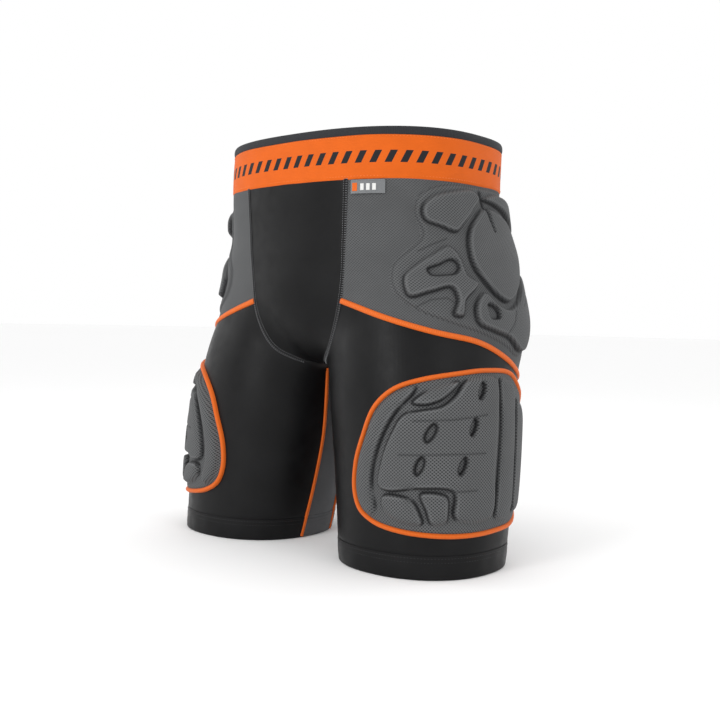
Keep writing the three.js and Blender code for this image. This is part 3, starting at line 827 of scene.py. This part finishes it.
THIGH_PAD = {
    "edge": [
        [-20, 195], [22, 198], [54, 195], [86, 189], [108, 180], [127, 162], [142, 134],
        [155, 105], [159, 79], [153, 62], [137, 52], [111, 46], [58, 42], [2, 43], [-42, 46],
        [-72, 58], [-84, 82], [-88, 115], [-83, 144], [-66, 167], [-44, 181]],
    "blocks": {
        "rim": [[90, 183], [108, 175], [124, 157], [138, 132], [150, 104], [153, 80],
                [147, 65], [134, 58], [131, 66], [134, 84], [131, 106], [119, 136], [105, 160],
                [92, 176]],
        "upper_leaf": [[93, 167], [83, 177], [68, 184], [53, 187], [62, 176], [71, 169],
                       [84, 165]],
        "main": [[100, 156], [86, 160], [69, 164], [58, 173], [47, 188], [36, 190], [10, 190],
                 [8, 180], [8, 148], [12, 101], [13, 62], [18, 56], [50, 56], [56, 62], [57, 84],
                 [86, 87], [116, 83], [126, 87], [121, 114], [111, 138]],
        "lower_leaf": [[121, 78], [104, 79], [93, 75], [86, 63], [84, 54], [98, 53], [113, 58],
                       [123, 68]],
        "lower_middle": [[86, 82], [63, 80], [61, 66], [63, 55], [76, 54], [81, 66]],
        "side": [[1, 189], [-12, 188], [-24, 182], [-25, 150], [-23, 100], [-22, 62],
                 [-16, 55], [5, 55], [7, 62], [5, 101], [1, 148]],
        "rear": [[-30, 168], [-44, 164], [-60, 150], [-71, 128], [-76, 104], [-72, 78],
                 [-58, 62], [-32, 57], [-27, 64], [-27, 110], [-29, 150]],
    },
    "windows": [slot_outline(78, 139, 18, 4.6, -3), slot_outline(40, 144, 17, 4, -2),
                slot_outline(87, 108, 18, 4.6, -2), slot_outline(50, 108, 17, 4, -2),
                slot_outline(31, 178, 17, 5, -2)],
    "creases": [[[92, 150], [60, 151], [26, 155]], [[104, 118], [66, 119], [28, 119]],
                [[86, 85], [64, 84], [36, 85]]],
    "slits": [],
    "merged": True,
    "nodes": ["thigh_pad_backing", "thigh_pad_rim", "thigh_pad_upper_leaf", "thigh_pad_main",
              "thigh_pad_lower_leaf", "thigh_pad_lower_middle", "thigh_pad_side",
              "thigh_pad_rear"],
}

TAIL_WING = [[5, 350], [26, 346], [39, 332], [42, 310], [34, 296], [16, 304], [5, 318]]
TAIL_PAD = {
    "edge": [[0, 360], [28, 356], [46, 340], [50, 310], [40, 276], [20, 244], [0, 234],
             [-20, 244], [-40, 276], [-50, 310], [-46, 340], [-28, 356]],
    "blocks": {
        "wing_left": TAIL_WING,
        "wing_right": [[-u, v] for u, v in reversed(TAIL_WING)],
        "tip": [[0, 308], [14, 292], [28, 284], [22, 264], [9, 246], [0, 242], [-9, 246],
                [-22, 264], [-28, 284], [-14, 292]],
    },
    "windows": [], "creases": [], "slits": [], "merged": False,
}

PAD_PITCH = 0.95
BLOCK_TOP, LOW_TOP, BACKING_TOP = 10.6, 8.2, 4.3
LOW_BLOCKS = ("side", "rear")


def blurred(h, passes):
    """Softens a height grid, as cloth does over a hard edge."""
    for _ in range(passes):
        for axis in (0, 1):
            padded = np.pad(h, [(1, 1) if k == axis else (0, 0) for k in (0, 1)], "edge")
            low, high = (np.take(padded, range(s, s + h.shape[axis]), axis) for s in (0, 2))
            h = 0.25 * low + 0.5 * h + 0.25 * high
    return h


def pad_relief(pad, u, v):
    """Height of the covered foam above the skin, painted shade in its grooves, and its crests."""
    edge = inside_distance(u, v, round_trip(pad["edge"], 240))
    height = FABRIC[1] - 0.4 + (BACKING_TOP - FABRIC[1] + 0.4) * step(edge, -1.0, 5.0)
    inside = {k: inside_distance(u, v, round_trip(o)) for k, o in pad["blocks"].items()}
    # The groove mask both sinks the cover and marks painted shade for the mesh material.
    groove_shade = np.zeros(u.shape)
    ridge = np.zeros(u.shape)
    cover = np.zeros(u.shape)
    for name, d in inside.items():
        others = np.maximum.reduce([o for k, o in inside.items() if k != name])
        if pad["merged"]:       # cut out of one sheet: an outer edge slopes off to the piping
            beside = step(others, -11, -6)
        else:                   # stuck on: an edge that faces upwards is drawn softer and with less painted shade
            slope_v, slope_u = np.gradient(d)
            upward = -slope_v / np.maximum(np.hypot(slope_u, slope_v), 1e-6)
            beside = 1 - 0.6 * step(upward, 0.3, 0.9)
        top = (LOW_TOP if name in LOW_BLOCKS else BLOCK_TOP) - BACKING_TOP
        crown = 0.7 * dome(d, 26)
        bevel = dome(d, 2.3 + 5.0 * (1 - beside))
        cover = np.maximum(cover, bevel * (top - 0.7) + crown * (d > 0))
        # painted shade along the foot of each block's edge, less where the edge faces upwards
        groove_shade = np.maximum(groove_shade, beside * np.exp(-((d + 0.1) / 1.2) ** 2))
        # a band just inside each block's edge, drawn lighter in the mesh material
        ridge = np.maximum(ridge, beside * np.exp(-((d - 2.5) / 0.9) ** 2))
    for outline in pad["windows"]:
        d = inside_distance(u, v, round_trip(outline, 60))
        cover = cover * (1 - step(d, -1.4, 0.9) * 0.9)
        # painted shade round each window
        groove_shade = np.maximum(groove_shade, np.exp(-((d - 0.3) / 1.1) ** 2))
    for line in pad["creases"]:
        d = line_distance(u, v, np.array(line, float), False)
        cover -= 0.8 * np.exp(-(d / 1.1) ** 2) * (cover > 1)
        # painted shade along each crease
        groove_shade = np.maximum(groove_shade, 0.5 * np.exp(-(d / 0.8) ** 2))
    for line in pad["slits"]:
        line = np.array(line, float)
        d = line_distance(u, v, line, False)
        width = 1.1 + 2.0 * step(v, line[:, 1].min(), line[:, 1].max())
        cover = cover * (1 - 0.9 * np.exp(-(d / width) ** 4))
        # painted shade along each slit
        groove_shade = np.maximum(groove_shade, np.exp(-(d / width) ** 2))
    if not pad["merged"]:
        # painted shade just inside the outer edge
        groove_shade = np.maximum(groove_shade, 0.4 * np.exp(-((edge - 1.4) / 0.9) ** 2))
    height = blurred(height + cover - 0.9 * groove_shade, 1)
    return height, edge, 0.92 * groove_shade * step(edge, -0.5, 2), ridge * (cover > 2)


def pad_solid(pad, skin):
    outline = np.array(pad["edge"], float)
    low, high = outline.min(0) - 5, outline.max(0) + 5
    u, v = np.meshgrid(spread(low[0], high[0], PAD_PITCH), spread(low[1], high[1], PAD_PITCH))
    height, edge, groove_shade, ridge = pad_relief(pad, u, v)
    rows, cols = u.shape
    quads = grid_quads(rows, cols)
    quads = quads[(edge.ravel()[quads] > -1.6).all(1)]
    used = np.unique(quads)
    renumber = np.full(rows * cols, -1)
    renumber[used] = np.arange(len(used))
    p, n = skin(u.ravel()[used], v.ravel()[used])
    weave = np.stack([u.ravel()[used], v.ravel()[used]], -1)
    # painted shade mask of the grooves, and the crest band
    extras = {"groove_shade": groove_shade.ravel()[used], "ridge": ridge.ravel()[used]}
    return closed_solid(renumber[quads], p, n, np.full(len(used), 0.6),
                        np.maximum(height.ravel()[used], 0.8), weave, extras)


def pads():
    for obj in pair("hip_pad", pad_solid(HIP_PAD, pad_skin), "hip_pad",
                    HIP_PAD["nodes"], crease=80):
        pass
    for obj in pair("thigh_pad", pad_solid(THIGH_PAD, pad_skin), "pad",
                    THIGH_PAD["nodes"], on_leg=True, crease=80):
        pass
    tail = build("tailbone_pad", pad_solid(TAIL_PAD, seat_skin), "hip_pad", crease=80)
    place(tail, ["tailbone_pad_backing", "tailbone_pad_wing_left",
                             "tailbone_pad_wing_right", "tailbone_pad_tip"])

    loop = round_trip(THIGH_PAD["edge"], 420)
    p, n = pad_skin(loop[:, 0], loop[:, 1])
    piping = sweep(p, n, 5.3, 4.3, 1.2, closed=True)
    pair("thigh_piping", piping, "piping", ["thigh_pad_piping"], on_leg=True)


# ---- legs -----------------------------------------------------------------------------
def groin_front():
    """Top edge of the thigh panel by angle: down the pouch seam, then under the crotch."""
    z = np.linspace(290, 200.5, 40)
    seam = np.stack([-seam_angle(POUCH, -1, z, 0.5), z], -1)
    return np.concatenate([seam, [[156, 198.5], [180, 195]]])


def thigh_top(angle, front_edge=groin_front()):
    rim = hip_line(angle)
    back = along(GROIN_BACK, angle)
    low = np.where(angle > GROIN_BACK[0][0], back, rim)
    return np.where(angle < -80, np.minimum(rim, along(front_edge, -angle)), low)


def legs():
    rows, cols = 120, 230
    a, b = np.meshgrid(np.linspace(0, 1, cols), np.linspace(0, 1, rows))
    z = np.full(a.shape, 100.0)
    for _ in range(10):
        angle = along(GUSSET_FRONT, z) * (1 - a) + along(GUSSET_BACK, z) * a
        z = HEM + (thigh_top(angle) - HEM) * b
    p, n = leg_skin(angle, z)
    weave = np.stack([-np.radians(angle) * ARC, z], -1)
    span = 460.0
    relief = edge_dip(a * span, (1 - a) * span, thigh_top(angle) - z, z - HEM)
    drag = np.sin(0.11 * weave[..., 1] + 0.05 * weave[..., 0]) * step(z, 130, 190)
    relief += 0.35 * drag * step(angle, -60, -130)
    solid = cloth_sheet((p, n), FABRIC, False, weave, relief)
    pair("thigh_panel", solid, "knit", ["thigh_panel", "groin_flex"],
         inside="inside", on_leg=True)

    a, b = np.meshgrid(np.linspace(0, 1, 24), np.linspace(0, 1, 90))
    z = HEM + (193.5 - HEM) * b
    angle = along(GUSSET_BACK, z) * (1 - a) + (along(GUSSET_FRONT, z) + 360) * a
    p, n = leg_skin(angle, z)
    weave = np.stack([-np.radians(angle) * ARC, z], -1)
    relief = edge_dip(a * 45, (1 - a) * 45, z - HEM)
    solid = cloth_sheet((p, n), FABRIC, False, weave, relief)
    pair("inner_panel", solid, "gusset", ["inner_thigh_panel"], inside="inside",
         on_leg=True)
    for name, table in (("front", GUSSET_FRONT), ("rear", GUSSET_BACK)):
        z = np.linspace(1.5, 193, 120)
        p, n = leg_skin(along(table, z), z)
        piping = sweep(p, n, 4.4, 2.2, 1.0)
        pair(f"inner_piping_{name}", piping, "piping",
             [f"inner_piping_{name}"], on_leg=True)

    hem()


def hem():
    """A folded hem: a rounded lower edge, a soft roll, and a twin row of stitches above."""
    z = np.concatenate([[0.0, 0.35, 1.0], spread(1.8, HEM + 1, 1.4)])
    front, back = float(along(GUSSET_FRONT, 0)), float(along(GUSSET_BACK, 0))
    rows = []
    for name, slot, start, stop, nodes in (
            ("hem", "knit", front, back, ["hem_band"]),
            ("inner_hem", "gusset", back, front + 360, [])):
        angle = np.linspace(start, stop, int((stop - start) / 1.4) + 2)
        a, zz = np.meshgrid(angle, z)
        p, n = leg_skin(a, zz)
        middle = np.sin(math.pi * np.clip(zz / HEM, 0, 1))
        ripple = 0.12 * np.sin(np.radians(a) * 23) * middle
        roll = 0.35 * middle - 0.7 * (1 - dome(zz, 1.8)) + ripple
        weave = np.stack([-np.radians(a) * ARC, zz], -1)
        solid = cloth_sheet((p, n), (-0.5, 1.6), False, weave, roll)
        solid["verts"][:, 2] = np.clip(solid["verts"][:, 2], 0, HEM + 2)
        pair(name, solid, slot, nodes, inside="inside",
             on_leg=True)
        for height in (HEM - 1.5, HEM - 5.5):
            p, n = leg_skin(angle, np.full(len(angle), height))
            rows.append(stitches(*evenly(p, n, 3.2), 2.5, 0.36, 1.8))
    pair("hem_stitch", join(rows), "thread", on_leg=True)


# ---- room, light and camera -----------------------------------------------------------
def studio():
    bpy.ops.mesh.primitive_plane_add(size=60, location=(0, 0, -0.0005))
    floor = bpy.context.object
    floor.name = "floor"
    paper = bpy.data.materials.new("floor_paper")
    paper.use_nodes = True
    shader = paper.node_tree.nodes["Principled BSDF"]
    shader.inputs["Base Color"].default_value = (0.96, 0.96, 0.96, 1)
    shader.inputs["Roughness"].default_value = 0.9
    floor.data.materials.append(paper)

    world = bpy.data.worlds.new("studio")
    world.use_nodes = True
    sky = world.node_tree.nodes["Background"]
    sky.inputs[0].default_value = (1, 1, 1, 1)
    sky.inputs[1].default_value = 1.0
    bpy.context.scene.world = world
    bpy.context.scene.view_settings.view_transform = "Standard"

    aim = Vector((0, 0, 0.24))
    for name, spot, size, power in (
            ("key", (0.05, -1.7, 0.75), (0.4, 1.2), 10), ("fill", (1.9, -0.3, 0.9), (0.3, 0.9), 3),
            ("side", (-1.6, -0.9, 0.8), (0.4, 1.0), 4),
            ("top", (0.1, 0.2, 2.0), (0.9, 0.9), 2), ("rim", (0.9, 1.5, 1.0), (0.6, 0.6), 3)):
        lamp = bpy.data.lights.new(name, "AREA")
        lamp.shape = "RECTANGLE"
        lamp.size, lamp.size_y = size
        lamp.energy = power
        obj = bpy.data.objects.new(name, lamp)
        obj.location = spot
        obj.rotation_euler = (aim - Vector(spot)).to_track_quat("-Z", "Y").to_euler()
        bpy.context.scene.collection.objects.link(obj)


def camera():
    """Almost level, 41 degrees round to the wearer's left, from about a metre away."""
    azimuth, elevation, roll = (math.radians(d) for d in (41.45, 1.12, 1.256))
    distance, aim_right, aim_down = 1.0968, 0.0155, 0.0185
    target = Vector((0, -0.02945, 0.220))
    back = Vector((math.sin(azimuth) * math.cos(elevation),
                   -math.cos(azimuth) * math.cos(elevation), math.sin(elevation)))
    right = Vector((math.cos(azimuth), math.sin(azimuth), 0))
    up = back.cross(right)
    eye = target + back * distance
    view = (eye - (target + right * aim_right - up * aim_down)).normalized()
    side = up.cross(view).normalized()
    level = view.cross(side)
    tilted = side * math.cos(roll) + level * math.sin(roll)
    above = view.cross(tilted)
    lens = bpy.data.cameras.new("camera")
    lens.lens, lens.sensor_width = 49.15, 36
    obj = bpy.data.objects.new("camera", lens)
    turn = Matrix((tilted, above, view)).transposed().to_4x4()
    obj.matrix_world = Matrix.Translation(eye) @ turn
    bpy.context.scene.collection.objects.link(obj)
    bpy.context.scene.camera = obj


camera()
waistband()
label()
pouch()
hip_panel()
seat_panel()
crotch_gusset()
pads()
legs()
studio()
